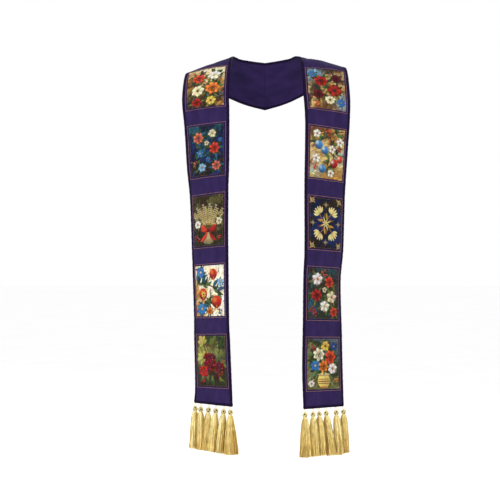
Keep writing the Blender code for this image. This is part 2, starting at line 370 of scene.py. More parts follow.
class Skin:
    """Points and faces gathered into one mesh, with a cloth place and a colour at each point."""

    def __init__(self):
        self.parts = []

    def add(self, points, faces, places, colour=linear("plum_thread")):
        colours = np.broadcast_to(colour, points.shape).reshape(-1, 3)
        self.parts.append((points.reshape(-1, 3), faces, places.reshape(-1, 2), colours))
        return self

    def tube(self, paths, out, radius, sides, colour, start=0.0):
        """Round threads along paths, an array of threads, points. out points away from the cloth."""
        along = np.gradient(paths, axis=1)
        length = np.linalg.norm(along, axis=-1)
        along = unit(along)
        beside = unit(np.cross(along, out))[..., None, :]
        over = np.cross(beside, along[..., None, :])
        angles = (2 * math.pi * np.arange(sides) / sides)[:, None]
        radius = np.broadcast_to(radius, paths.shape[:2])[..., None, None]
        rings = paths[..., None, :] + radius * (np.cos(angles) * over + np.sin(angles) * beside)
        places = np.empty(rings.shape[:3] + (2,))
        places[..., 0] = np.arange(sides) / sides
        places[..., 1] = (np.cumsum(length, axis=1) + start)[..., None]
        self.add(rings, loft(rings), places, np.broadcast_to(colour, paths.shape)[..., None, :])

    def piece(self, name, material, slot, nodes=(), flip=False):
        """The gathered mesh as a piece of the scene, in place of the solids that it dresses."""
        points, faces, places, colours = zip(*self.parts)
        starts = np.cumsum([0] + [len(part) for part in points[:-1]])
        faces = np.concatenate([part + start for part, start in zip(faces, starts)])
        if flip:
            faces = faces[:, ::-1]
        points = np.concatenate(points)
        mesh = bpy.data.meshes.new(name)
        mesh.vertices.add(len(points))
        mesh.vertices.foreach_set("co", points.ravel())
        mesh.loops.add(faces.size)
        mesh.loops.foreach_set("vertex_index", faces.ravel())
        mesh.polygons.add(len(faces))
        mesh.polygons.foreach_set("loop_start", np.arange(0, faces.size, 4))
        mesh.update(calc_edges=True)
        flat = mesh.uv_layers.new(name="cloth")
        flat.data.foreach_set("uv", np.concatenate(places)[faces.ravel()].ravel())
        colours = np.column_stack([np.concatenate(colours), np.ones(len(points))])
        paint = mesh.attributes.new("paint", "FLOAT_COLOR", "POINT")
        paint.data.foreach_set("color", colours.ravel())
        mesh.shade_smooth()
        made = bpy.data.objects.new(name, mesh)
        bpy.context.scene.collection.objects.link(made)
        made.data.materials.append(material)
        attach(made, "root")
        if nodes:
            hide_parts(*nodes)
        return made


# Materials

class Nodes:
    """A material's nodes, with short ways to make the ones used here."""

    def __init__(self, name):
        self.material = bpy.data.materials.new(name)
        self.material.use_nodes = True
        self.tree = self.material.node_tree

    def node(self, kind, inputs=(), **settings):
        made = self.tree.nodes.new(kind)
        for key, value in settings.items():
            setattr(made, key, value)
        for key, value in dict(inputs).items():
            self.feed(made.inputs[key], value)
        return made

    def feed(self, socket, value):
        if isinstance(value, bpy.types.NodeSocket):
            self.tree.links.new(value, socket)
        else:
            socket.default_value = value

    def place(self):
        return self.node("ShaderNodeUVMap", uv_map="cloth").outputs["UV"]

    def axes(self):
        """Place across the piece and place along it."""
        return self.node("ShaderNodeSeparateXYZ", {0: self.place()}).outputs

    def paint(self):
        return self.node("ShaderNodeAttribute", attribute_name="paint").outputs["Color"]

    def math(self, operation, *values):
        return self.node("ShaderNodeMath", enumerate(values), operation=operation).outputs[0]

    def noise(self, vector, scale, detail=2.0):
        inputs = {"Vector": vector, "Scale": scale, "Detail": detail}
        return self.node("ShaderNodeTexNoise", inputs).outputs["Fac"]

    def grain(self, across, along, detail=2.0):
        """Noise with so many patches a metre across the piece and along it."""
        inputs = {0: self.place(), 1: (across, along, 1.0)}
        vector = self.node("ShaderNodeVectorMath", inputs, operation="MULTIPLY").outputs[0]
        return self.noise(vector, 1.0, detail)

    def ramp(self, value, stops):
        made = self.node("ShaderNodeValToRGB", {"Fac": value})
        elements = made.color_ramp.elements
        while len(elements) < len(stops):
            elements.new(0.5)
        for element, (position, colour) in zip(elements, stops):
            element.position = position
            element.color = (*linear(colour), 1.0)
        return made.outputs["Color"]

    def shaded(self, colour, value, low, high):
        """The colour made darker or lighter, from low to high, as the value goes from 0 to 1."""
        share = self.node("ShaderNodeMapRange", {"Value": value, "To Min": low, "To Max": high})
        grey = self.node("ShaderNodeCombineColor", dict.fromkeys(range(3), share.outputs["Result"]))
        inputs = {0: 1.0, 6: colour, 7: grey.outputs["Color"]}
        made = self.node("ShaderNodeMix", data_type="RGBA", blend_type="MULTIPLY")
        for socket, value in inputs.items():
            self.feed(made.inputs[socket], value)
        return made.outputs[2]

    def wave(self, value, scale):
        return self.math("SINE", self.math("MULTIPLY", value, scale))

    def weave(self, pitch):
        """Height of a plain weave, from 0 to 1, with threads a pitch apart."""
        waves = [self.wave(axis, math.pi / pitch) for axis in list(self.axes())[:2]]
        over = self.math("GREATER_THAN", self.math("MULTIPLY", *waves), 0.0)
        warp, weft = [self.math("ABSOLUTE", wave) for wave in waves]
        return self.node("ShaderNodeMix", {0: over, 2: weft, 3: warp}, data_type="FLOAT").outputs[0]

    def finish(self, colour, shades, bumps, rough, **constants):
        """Sets the shader from its colour, rows of a value and the shades that it goes between,
        rows of a height and its depth, its roughness, and what is the same all over."""
        for row in shades:
            colour = self.shaded(colour, *row)
        normal = {}
        for height, depth in bumps:
            inputs = {"Height": height, "Distance": depth, **normal}
            normal = {"Normal": self.node("ShaderNodeBump", inputs).outputs["Normal"]}
        shader = self.tree.nodes["Principled BSDF"]
        for name, value in {"Base Color": colour, "Roughness": rough, **normal}.items():
            self.feed(shader.inputs[name], value)
        for name, value in constants.items():
            shader.inputs[name.replace("_", " ")].default_value = value
        return self.material


def purple_cloth():
    """Matt woven cloth, mottled between navy and plum in patches drawn out along the band's run,
    which stand partly for the cloth's own uneven tone and partly for painted shade of its soft
    drape, with slubs along its weft.
    """
    nodes = Nodes("purple_weave")
    slubs, weave = nodes.grain(40.0, 900.0, 3.0), nodes.weave(0.00062)
    # The mottled patches are partly the cloth's own uneven tone and partly painted shade of soft drape
    stops = ((0.30, (36, 25, 64)), (0.52, (43, 30, 74)), (0.74, (51, 34, 82)))
    return nodes.finish(
        nodes.ramp(nodes.grain(46.0, 17.0, 4.0), stops),
        ((slubs, 0.78, 1.24), (nodes.grain(1300.0, 34.0), 0.90, 1.10), (weave, 0.80, 1.12)),
        ((slubs, 0.00030), (weave, 0.00022)),
        nodes.math("MULTIPLY_ADD", slubs, 0.16, 0.66),
        Sheen_Weight=0.02,
        Sheen_Roughness=0.4,
        Specular_IOR_Level=0.08,
    )


def dark_binding():
    """Satin tape, nearly black purple, with fine ribs across it and small puckers."""
    nodes = Nodes("satin_binding")
    axes = nodes.axes()
    ribs = nodes.wave(nodes.math("ADD", axes[0], axes[1]), 11000.0)
    puckers = nodes.grain(160.0, 420.0)
    return nodes.finish(
        nodes.ramp(puckers, ((0.30, (13, 4, 28)), (0.70, (25, 9, 48)))),
        ((nodes.math("MULTIPLY_ADD", ribs, 0.5, 0.5), 0.86, 1.12),),
        ((puckers, 0.0006), (ribs, 0.00008)),
        nodes.math("MULTIPLY_ADD", puckers, 0.22, 0.50),
        Sheen_Weight=0.0,
        Specular_IOR_Level=0.05,
    )


def picture_cloth():
    """Printed cloth, whose inks lie unevenly on a fine flat weave."""
    nodes = Nodes("painted_cloth")
    grain, weave = nodes.noise(nodes.place(), 620.0, 3.0), nodes.weave(0.00048)
    return nodes.finish(
        nodes.paint(),
        ((grain, 0.80, 1.20), (nodes.grain(260.0, 520.0), 0.84, 1.14), (weave, 0.86, 1.06)),
        ((grain, 0.00012), (weave, 0.00014)),
        nodes.math("MULTIPLY_ADD", grain, 0.18, 0.52),
        Sheen_Weight=0.0,
        Specular_IOR_Level=0.08,
    )


def thread(name, roughness, sheen, uneven):
    """Twisted thread in the colour of its own piece, lighter and darker along its length as painted
    sheen.
    """
    nodes = Nodes(name)
    axes = nodes.axes()
    turns = nodes.math("ADD", axes[0], nodes.math("MULTIPLY", axes[1], 650.0))
    twist = nodes.wave(turns, 2 * math.pi)
    # Painted sheen: the colour goes lighter and darker along the thread with its lustre, and its
    # roughness follows the same noise
    lustre = nodes.grain(3.0, 160.0, 3.0)
    ridges = nodes.math("MULTIPLY_ADD", twist, 0.5, 0.5)
    return nodes.finish(
        nodes.paint(),
        ((lustre, 1 - uneven, 1 + uneven), (ridges, 0.84, 1.08)),
        ((twist, 0.00012),),
        nodes.math("MULTIPLY_ADD", lustre, 0.2, roughness),
        Sheen_Weight=sheen,
        Specular_IOR_Level=0.35,
    )


# Painting the cloth pictures

# Turn from each seed in a flower's heart to the next, in degrees
SEED_TURN = math.degrees(2.4)


def beyond(u, v, angle, far, aside=0.0):
    """The place that lies far from u, v along an angle, and aside to the left of it."""
    turn = math.radians(angle)
    sine, cosine = math.sin(turn), math.cos(turn)
    return u + far * cosine - aside * sine, v + far * sine + aside * cosine


class Painting:
    """A painting by places in millimetres, u to the right and v up from its lower left corner,
    and by angles in degrees. Its brushes all draw from one row of random numbers."""

    WIDTH = 110
    HEIGHT = 142
    FINE = 3
    STROKES = 420

    def __init__(self, seed):
        self.random = np.random.default_rng(seed)
        self.draw = self.random.uniform
        size = ((self.HEIGHT + 1) * self.FINE, (self.WIDTH + 1) * self.FINE)
        self.v, self.u = (np.indices(size) - self.FINE // 2) / self.FINE
        self.paint = np.zeros(size + (3,))
        self.grain = self.mottle(2.2, 2.2)

    def mottle(self, over, up):
        """Smooth random values from -1 to 1, in patches of over by up millimetres."""
        corners = self.draw(-1, 1, (int(self.HEIGHT / up) + 4, int(self.WIDTH / over) + 4))
        y, x = self.v / up + 1, self.u / over + 1
        j, i = y.astype(int), x.astype(int)
        y, x = y - j, x - i
        y, x = y * y * (3 - 2 * y), x * x * (3 - 2 * x)
        low = corners[j, i] * (1 - x) + corners[j, i + 1] * x
        high = corners[j + 1, i] * (1 - x) + corners[j + 1, i + 1] * x
        return low * (1 - y) + high * y

    def ground(self, colours, angle, uneven):
        """Fills the picture with colours that follow each other along an angle, in patches."""
        angle = math.radians(angle)
        u, v = self.u / self.WIDTH - 0.5, self.v / self.HEIGHT - 0.5
        share = 0.5 + u * math.cos(angle) + v * math.sin(angle)
        share = share + uneven * self.mottle(24, 20) + uneven * 0.6 * self.mottle(9, 7)
        stops = np.linspace(0, 1, len(colours))
        shades = zip(*(COLOURS[name] for name in colours))
        self.paint = np.stack([np.interp(share, stops, shade) for shade in shades], axis=-1)
        self.paint *= (1 + 0.16 * self.mottle(4, 3))[..., None]

    def glow(self, u, v, radius, colour, strength):
        """A soft patch of light of a colour."""
        near = np.exp(-((self.u - u) ** 2 + (self.v - v) ** 2) / radius**2)
        near = (near * strength * (1 + 0.5 * self.mottle(7, 6)))[..., None]
        self.paint += (np.array(COLOURS[colour]) - self.paint) * np.clip(near, 0, 1)

    def petal(self, u, v, angle, length, width, colour, bend=0.0, full=1.0, taper=0.7, shade=0.3):
        """A tapered mark from u, v: a petal, leaf, stem or stroke of the brush.

        bend bows it sideways, full above 1 moves its widest place towards the tip, and a small
        taper keeps its width even.
        """
        reach = length + width / 2 + abs(bend)
        low_v, high_v, low_u, high_u = (
            max(int((place + side * reach) * self.FINE), 0) for place in (v, u) for side in (-1, 1)
        )
        box = (slice(low_v, high_v + 2), slice(low_u, high_u + 2))
        over, up = self.u[box] - u, self.v[box] - v
        if over.size == 0:
            return
        sine, cosine = math.sin(math.radians(angle)), math.cos(math.radians(angle))
        along = (over * cosine + up * sine) / length
        side = up * cosine - over * sine - 4 * bend * along * (1 - along)
        half = width / 2 * np.sin(math.pi * np.clip(along, 0, 1) ** full) ** taper
        edge = np.minimum(half - np.abs(side), np.minimum(along, 1 - along) * length + 0.15)
        cover = np.clip(edge / 0.4 + 0.5, 0, 1)[..., None]
        lit = side / (half + 0.3) * (0.6 * sine + 0.8 * cosine) * 0.7 + (along - 0.5) * 0.5
        tone = 1 + shade * np.clip(lit, -1, 1) - shade * np.exp(-np.maximum(edge, 0) / 0.5)
        tone = (tone + 0.10 * self.grain[box])[..., None]
        colour = np.array(COLOURS[colour] if isinstance(colour, str) else colour)
        self.paint[box] += (colour * tone - self.paint[box]) * cover

    def near(self, colour, spread=14):
        """A colour a little away from a named one."""
        return np.array(COLOURS[colour]) + self.draw(-spread, spread, 3)

    def dot(self, u, v, size, colour, shade=0.35):
        self.petal(u - size / 2, v, 0, size, size, colour, taper=0.5, shade=shade)

    def stem(self, u, v, angle, length, colour, bend=0.0, width=1.1):
        self.petal(u, v, angle, length, width, colour, bend, taper=0.15, shade=0.2)

    def brush(self, angle):
        """Strokes of the brush, each near the colour that is already there."""
        draw = self.draw
        for _ in range(self.STROKES):
            u, v = draw(0, self.WIDTH), draw(0, self.HEIGHT)
            under = self.paint[int(v * self.FINE), int(u * self.FINE)]
            colour = under * draw(0.70, 1.34) + draw(-9, 9, 3)
            turn, size, bend = angle + draw(-28, 28), draw(0.6, 1.3), draw(-1, 1)
            self.petal(u, v, turn, 9 * size, 2.6 * size, colour, bend, taper=0.3, shade=0.14)

    def foliage(self, u, v, reach, colour, count=9, turn=0.0):
        """Leaves behind a flower."""
        for k in range(count):
            angle = turn + 360 * k / count + self.draw(-12, 12)
            length = reach * self.draw(0.85, 1.15)
            bend = 0.08 * reach * (1 if k % 2 else -1)
            self.leaf(u, v, angle, length, ("moss", colour)[k % 2], bend, 0.34)

    def leaf(self, u, v, angle, length, colour, bend, wide=0.36):
        self.petal(u, v, angle, length, length * wide, self.near(colour), bend, full=0.8)
        light = self.near(colour) * 1.35 + 14
        self.petal(u, v, angle, length * 0.92, 0.7, light, bend, taper=0.3, shade=0.0)

    def spray(self, u, v, angle, length, leaves, colour, bend, size):
        """A stem with leaves to either side of it."""
        self.stem(u, v, angle, length, "olive", bend)
        for k in range(leaves):
            share = (k + 0.8) / leaves
            side = 1 if k % 2 else -1
            at = beyond(u, v, angle, share * length, 4 * bend * share * (1 - share))
            lean = angle + 38 * side * (1.15 - 0.6 * share) - bend * (share - 0.5) * 4
            self.leaf(*at, lean, size * (1.1 - 0.35 * share), colour, 1.2 * side)

    def ring(self, u, v, size, turn, petals, colour, wide=0.6, squash=1.0):
        """Petals round a centre."""
        for k in range(petals):
            angle = turn + 360 * k / petals + self.draw(-6, 6)
            over, up = beyond(0, 0, angle, 1)
            length = size * math.hypot(over, squash * up) * self.draw(0.9, 1.08)
            bend = self.draw(-0.05, 0.05) * size
            self.petal(u, v, angle, length, size * wide, self.near(colour), bend, 1.2)

    def bloom(self, u, v, size, colour, heart, petals=5):
        """An open flower with two rings of petals and a seeded heart."""
        dark = np.array(COLOURS[colour]) * 0.62
        for k in range(petals):
            angle = 10 + 360 * (k + 0.5) / petals
            self.petal(u, v, angle, size * 0.95, size * 0.62, dark, full=1.3)
        self.ring(u, v, size, 10, petals, colour, squash=0.9)
        for k in range(petals * 2):
            angle = 10 + 180 * k / petals
            self.petal(u, v, angle, size * 0.55, 0.7, dark, taper=0.4, shade=0)
        self.dot(u, v, size * 0.42, heart)
        for k in range(9):
            far = size * 0.055 * math.sqrt(k + 1)
            self.dot(*beyond(u, v, SEED_TURN * k, far), 1.0, "brown", 0.1)

    def rose(self, u, v, size, colour):
        """A full flower of petals folded over each other."""
        base = np.array(COLOURS[colour], dtype=float)
        self.dot(u, v, size * 1.5, base * 0.5)
        for layer, count in enumerate((7, 6, 5, 4, 3)):
            far = size * (0.62 - 0.13 * layer)
            wide = far * 5.2 / count
            for k in range(count):
                angle = layer * 37 + 360 * k / count + self.draw(-8, 8)
                at = beyond(u, v, angle, far, -wide / 2)
                shade = base * (1.18 - 0.13 * layer) + self.draw(-10, 10, 3)
                self.petal(*at, angle + 90, wide, size * 0.42, shade, -wide * 0.14, shade=0.42)
        self.dot(u, v, size * 0.2, base * 0.45)

    def flowers(self, rows, leaf, reach=1.5):
        """Flowers with leaves behind them all, from rows of their place, size and colour. A row
        that goes on to a heart's colour and a count of petals is an open flower, not a rose."""
        for k, (u, v, size, *_) in enumerate(rows):
            self.foliage(u, v, size * reach, leaf, turn=40 * k)
        for row in rows:
            (self.rose if len(row) == 4 else self.bloom)(*row)

    def lily(self, u, v, angle, size, colour):
        """A flower seen from the side, with long petals curling back."""
        petals = ((-58, -0.16), (58, 0.16), (-34, -0.12), (34, 0.12), (-12, -0.04), (12, 0.05))
        for turn, bend in petals:
            shade = self.near(colour, 9)
            self.petal(u, v, angle + turn, size, size * 0.3, shade, bend * size, full=1.25)
        for turn in (-16, -6, 5, 15):
            self.petal(u, v, angle + turn, size * 0.72, 0.6, "lime", taper=0.3, shade=0)
            self.dot(*beyond(u, v, angle + turn, size * 0.73), 2.0, "orange")

    def ear(self, u, v, angle, length, colour, bend):
        """An ear of grain on its stalk."""
        self.stem(u, v, angle, length * 0.62, self.near("ochre"), bend * 0.4, 0.9)
        for k in range(9):
            share = 0.45 + 0.058 * k
            at = beyond(u, v, angle, share * length, 1.6 * bend * share * (1 - share))
            for side in (-1, 1):
                self.petal(*at, angle + 55 * side, 10, 0.4, self.near("sand"), 1.6 * side, taper=0.2)
                self.petal(*at, angle + 32 * side, 5.4, 2.5, self.near(colour), 0.5 * side)

    def grapes(self, u, v, size, colour):
        """A hanging bunch of round fruit."""
        for row, count in enumerate((4, 5, 4, 5, 4, 3, 2, 1)):
            for k in range(count):
                at_u = u + (k - (count - 1) / 2) * size * 0.86 + self.draw(-1.6, 1.6)
                at_v = v - row * size * 0.66 + self.draw(-1.6, 1.6)
                self.dot(at_u, at_v, size * 1.06, self.near(colour, 26), 0.5)
                if self.draw() < 0.4:
                    over, down = self.draw(-0.28, 0.0, 2) * size
                    self.dot(at_u + over, at_v - down, size * 0.22, "salmon", 0.0)

    def berries(self, u, v, count, spread, colour, size=5):
        for _ in range(count):
            at_u, at_v = np.array((u, v)) + self.random.normal(0, spread, 2)
            self.dot(at_u, at_v, size, self.near(colour, 12), 0.45)
            self.dot(at_u - size * 0.18, at_v + size * 0.2, size * 0.25, "cream", 0.0)

    def star(self, u, v, size, colour, turn=0):
        """A traditional star of eight points, each split into a light and a dark side."""
        light = np.array(COLOURS[colour], dtype=float)
        for k in range(8):
            angle = turn + 45 * k
            reach = size * (0.62 if k % 2 else 1)
            self.petal(u, v, angle, reach, size * 0.24, light * 0.6, full=0.55, shade=0.1)
            self.petal(u, v, angle + 3, reach * 0.98, size * 0.12, light * 1.08, full=0.55, shade=0.1)

    def finished(self, strength):
        """Scene-linear colours at each whole millimetre, rows up and columns to the right."""
        blocks = self.paint.reshape(self.HEIGHT + 1, self.FINE, self.WIDTH + 1, self.FINE, 3)
        return linear(np.clip(blocks.mean(axis=(1, 3)), 4, 250)) * strength


def orange_blossom(p):
    p.spray(6, 10, 60, 120, 11, "olive", 10, 19)
    p.spray(106, 136, -106, 120, 11, "leaf", -9, 19)
    flowers = (
        (34, 104, 22, "scarlet"),
        (80, 110, 20, "ivory", "yellow", 6),
        (77, 60, 25, "orange"),
        (33, 56, 20, "cream", "brown", 7),
        (30, 16, 17, "red"),
        (72, 18, 16, "yellow", "brown", 6),
    )
    p.flowers(flowers, "olive")
    p.berries(100, 34, 9, 5, "slate")
    p.berries(8, 130, 8, 4, "orange")
    p.berries(55, 84, 7, 4, "orange", 4)


def night_blossom(p):
    p.spray(106, 4, 126, 160, 13, "teal", 9, 20)
    p.spray(10, 2, 80, 120, 9, "leaf", -6, 17)
    flowers = (
        (30, 108, 19, "salmon"),
        (74, 118, 13, "cream", "yellow", 6),
        (80, 76, 19, "scarlet"),
        (34, 64, 13, "blue", "cream", 5),
        (86, 26, 16, "salmon"),
        (40, 24, 13, "sky", "orange", 6),
    )
    p.flowers(flowers, "teal")
    p.bloom(56, 92, 8, "cream", "orange")
    p.bloom(60, 46, 8, "blue", "cream")
    p.bloom(98, 98, 7, "blue", "cream")
    p.berries(14, 40, 8, 4, "salmon", 4)


def grain_sheaf(p):
    for k in range(17):
        tone = ("straw", "cream", "yellow")[k % 3]
        p.ear(54 + 0.35 * (k - 8), 20, 50 + 5 * k, 96 + 10 * math.sin(k * 2.1), tone, (k - 8) * -0.5)
    for k in range(13):
        p.stem(55, 42, 240 + 5 * k, 38, p.near("sand"), 0, 1.8)
    p.petal(34, 42, 0, 42, 10, "red", 1.5, taper=0.3)
    p.petal(52, 42, 228, 40, 11, "scarlet", 4, full=1.2)
    p.petal(58, 42, -46, 40, 11, "red", -4, full=1.2)
    p.petal(54, 44, 154, 32, 17, "scarlet", 4, full=1.3)
    p.petal(56, 44, 24, 33, 17, "red", -4, full=1.3)
    p.dot(55, 43, 10, "wine")
    p.flowers(((16, 62, 13, "ivory", "orange", 6), (96, 68, 12, "cream", "orange", 6)), "olive")
    p.berries(12, 22, 10, 5, "red")
    p.berries(98, 24, 10, 5, "red")


def pomegranate_branch(p):
    p.stem(2, 92, -18, 112, "brown", 12, 4.0)
    p.stem(46, 90, 68, 46, "brown", -5, 3.0)
    p.stem(60, 78, -100, 66, "brown", 6, 3.0)
    leafy = ((8, 96, 80), (26, 98, 40), (40, 92, 96), (72, 82, 40), (88, 70, 15), (60, 56, -30))
    for u, v, angle in leafy + ((56, 36, 200),):
        p.leaf(u, v, angle, 30, "teal", 3)
        p.leaf(u + 3, v - 4, angle - 74, 26, "leaf", -2)
        p.leaf(u - 2, v - 2, angle - 36, 24, "moss", -2)
    for u, v, size in ((30, 62, 34), (84, 40, 36), (72, 118, 30)):
        p.dot(u, v, size, "red", 0.5)
        p.glow(u - size * 0.2, v + size * 0.2, size * 0.26, "orange", 0.9)
        p.ring(u, v - size * 0.5, size * 0.26, 198, 3, "orange", 0.5)
    p.ring(32, 62, 10, 20, 7, "yellow", 0.5)
    p.berries(32, 62, 7, 2, "wine", 3)
    flowers = (
        (22, 124, 17, "blue", "ivory", 7),
        (24, 20, 19, "blue", "yellow", 7),
        (98, 94, 12, "sky", "yellow", 6),
        (58, 14, 14, "orange"),
    )
    p.flowers(flowers, "teal", 1.3)
    p.berries(94, 12, 10, 5, "royal")


def grape_vine(p):
    p.stem(4, 138, -64, 92, "brown", 12, 4.2)
    p.stem(12, 130, -10, 96, "brown", -9, 3.4)
    leaves = (
        (26, 120, 120, 32, "lime"),
        (64, 116, 66, 30, "olive"),
        (96, 108, 90, 26, "moss"),
        (24, 82, 200, 30, "lime"),
        (90, 66, -30, 26, "olive"),
    )
    for u, v, angle, size, tone in leaves:
        for turn in (-84, 84, -44, 44, 0):
            p.leaf(u, v, angle + turn, size * (1 - abs(turn) / 190), tone, 1, 0.56)
    p.grapes(50, 88, 10.5, "wine")
    p.grapes(84, 62, 9.0, "wine")
    p.grapes(24, 52, 8.4, "red")
    for u, v, angle in ((4, 10, 30), (36, 4, 70), (64, 2, 100), (104, 6, 130)):
        p.leaf(u, v, angle, 30, "olive", 3, 0.44)
        p.leaf(u, v, angle + 40, 26, "moss", -2, 0.4)
    p.stem(52, 92, 60, 26, "ochre", 6, 1.0)
    p.stem(88, 70, 20, 22, "ochre", -6, 1.0)


def poppies_and_grain(p):
    ears = ((20, 70, 104), (38, 80, 116), (56, 90, 112), (72, 100, 112), (92, 110, 100))
    for u, angle, length in ears:
        p.ear(u, 14, angle, length, "yellow", 3)
    flowers = (
        (38, 94, 23, "red"),
        (84, 108, 19, "wine"),
        (78, 64, 23, "red", "umber", 6),
        (28, 46, 19, "wine"),
        (62, 30, 16, "cream", "brown", 8),
        (96, 24, 13, "blue", "sand", 8),
        (14, 122, 13, "blue", "sand", 8),
    )
    p.flowers(flowers, "olive", 1.35)
    p.berries(20, 14, 9, 5, "scarlet")


def fruit_and_blossom(p):
    p.stem(108, 138, -152, 116, "brown", -12, 4.2)
    p.stem(62, 118, -84, 98, "umber", 8, 3.2)
    p.stem(58, 78, -22, 48, "umber", -4, 2.6)
    leafy = ((82, 128, 60), (44, 112, 150), (64, 94, 10), (62, 54, 200), (86, 70, 60), (58, 34, -30))
    for u, v, angle in leafy + ((20, 96, 120),):
        p.leaf(u, v, angle, 28, "olive", 3)
        p.leaf(u, v, angle - 62, 25, "leaf", -3)
        p.leaf(u, v, angle + 50, 22, "moss", -2)
    fruits = (
        (26, 92, 25, "blue", "royal"),
        (46, 78, 23, "blue", "royal"),
        (78, 44, 27, "red", "wine"),
        (97, 58, 21, "scarlet", "red"),
        (38, 26, 23, "blue", "royal"),
    )
    for u, v, size, colour, dark in fruits:
        p.dot(u, v, size, colour, 0.5)
        p.glow(u - size * 0.2, v + size * 0.2, size * 0.22, "ivory", 0.8)
        p.stem(u, v + size * 0.45, -86, size * 0.9, dark, size * 0.1, 0.9)
    for u, v in ((20, 124), (96, 106), (70, 84), (18, 54), (68, 16)):
        p.bloom(u, v, 13, "ivory", "scarlet")
    p.berries(56, 132, 10, 6, "scarlet")
    p.berries(94, 84, 9, 4, "red")
    p.berries(14, 30, 9, 4, "scarlet")


def lilies_on_blue(p):
    middle = (55, 71)
    for angle in (52, 128, 232, 308):
        p.stem(*middle, angle, 38, "ochre", 3, 2.4)
        at = beyond(*middle, angle, 12)
        p.leaf(*at, angle + 50, 22, "ochre", 2)
        p.leaf(*at, angle - 50, 22, "brown", -2)
        p.lily(*beyond(*middle, angle, 34), angle, 22, "straw")
    p.star(*middle, 22, "straw", 22.5)
    p.dot(*middle, 8, "yellow")
    for u, v in ((55, 124), (55, 18), (10, 71), (100, 71)):
        p.star(u, v, 10, "sand")
    for u, v in ((8, 8), (102, 8), (8, 134), (102, 134)):
        p.foliage(u, v, 13, "ochre", 8)
        p.bloom(u, v, 7, "sand", "ochre")


def berries_and_teal(p):
    p.spray(6, 138, -58, 160, 13, "teal", -12, 22)
    p.spray(108, 104, -140, 80, 7, "olive", 6, 20)
    flowers = (
        (32, 112, 20, "ivory", "orange", 5),
        (76, 104, 19, "scarlet"),
        (84, 62, 19, "cream", "orange", 5),
        (30, 66, 21, "red"),
        (58, 36, 18, "ivory", "yellow", 5),
        (92, 20, 16, "scarlet"),
    )
    p.flowers(flowers, "olive")
    p.berries(54, 128, 12, 6, "scarlet")
    p.berries(22, 22, 15, 7, "red", 5.5)
    p.bloom(58, 82, 9, "cream", "brown")


def mixed_bouquet(p):
    for k in range(22):
        angle = 16.4 * k + 6
        over, up = beyond(0, 0, angle, 1)
        p.leaf(55 + 22 * over, 80 + 28 * up, angle + 14, 34, ("moss", "leaf")[k % 2], 3)
    p.petal(55, 4, 90, 46, 44, "gold_mid", full=0.8, taper=0.5)
    p.petal(33, 42, 0, 44, 7, "sand", -1.5, taper=0.35)
    p.petal(39, 5, 0, 32, 6, "ochre", taper=0.35)
    for v in (16, 22, 28):
        p.petal(34, v, 0, 42, 1.8, "brown", taper=0.15)
    for u in range(37, 76, 6):
        p.petal(u, 19, 70, 6, 2.4, "red")
    flowers = (
        (26, 66, 17, "blue", "cream", 7),
        (38, 98, 22, "cream"),
        (60, 122, 16, "yellow", "brown", 6),
        (78, 90, 23, "scarlet"),
        (54, 64, 20, "orange"),
        (86, 58, 17, "ivory", "ochre", 6),
        (92, 120, 12, "royal", "cream", 7),
    )
    p.flowers(flowers, "leaf", 1.2)
    p.berries(18, 118, 10, 5, "red")
    p.berries(98, 24, 9, 4, "orange")
    p.bloom(12, 16, 11, "ivory", "orange", 6)


# Patches of light on a picture's ground, as u, v, radius, colour and strength
GLOWS = {
    "left_5": ((26, 84, 30, "lime", 1.3), (84, 96, 22, "lime", 0.6)),
    "right_1": ((14, 118, 30, "sky", 1.0), (102, 24, 26, "sky", 0.9)),
    "right_2": ((92, 62, 26, "sky", 0.6), (14, 18, 24, "sky", 0.5)),
    "right_4": ((20, 30, 24, "blue", 0.4), (96, 76, 20, "blue", 0.35)),
}
# The picture at each place, counted down from the shoulder: what is painted, the seed of its
# random numbers, its ground's colours, their angle and unevenness, the angle of the brush, and
# the share of the light that its inks give back, against fresh paint
PAINTINGS = {
    "left_1": (orange_blossom, 11, ("umber", "brown", "ochre", "sand", "cream"), 72, 0.35, 25, 0.82),
    "left_2": (night_blossom, 12, ("umber", "night", "indigo", "night", "teal"), 100, 0.4, 70, 0.66),
    "left_3": (grain_sheaf, 13, ("umber", "moss", "umber", "olive", "umber"), 80, 0.4, 95, 0.74),
    "left_4": (pomegranate_branch, 14, ("ochre", "sand", "ivory", "cream", "ivory"), 30, 0.35, 60, 0.84),
    "left_5": (grape_vine, 15, ("umber", "moss", "umber", "moss", "moss"), 75, 0.4, 100, 0.80),
    "right_1": (poppies_and_grain, 21, ("brown", "ochre", "sand", "brown", "umber"), 120, 0.4, 80, 0.78),
    "right_2": (fruit_and_blossom, 22, ("ochre", "yellow", "sand", "ochre", "brown"), 110, 0.4, 20, 0.76),
    "right_3": (lilies_on_blue, 23, ("umber", "night", "indigo", "night", "umber"), 70, 0.35, 60, 0.70),
    "right_4": (berries_and_teal, 24, ("umber", "moss", "umber", "teal", "umber"), 140, 0.4, 120, 0.68),
    "right_5": (mixed_bouquet, 25, ("olive", "sage", "olive", "moss", "slate"), 55, 0.35, 45, 0.70),
}


def painted(name):
    """Scene-linear colours of the picture at a place."""
    painter, seed, colours, angle, uneven, strokes, strength = PAINTINGS[name]
    painting = Painting(seed)
    painting.ground(colours, angle, uneven)
    for glow in GLOWS.get(name, ()):
        painting.glow(*glow)
    painting.brush(strokes)
    painter(painting)
    return painting.finished(strength)


# Cloth, bindings and pictures

CLOTH_ROW = 0.003
BINDING_ROW = 0.0024
TAPE_WIDTH = 0.018
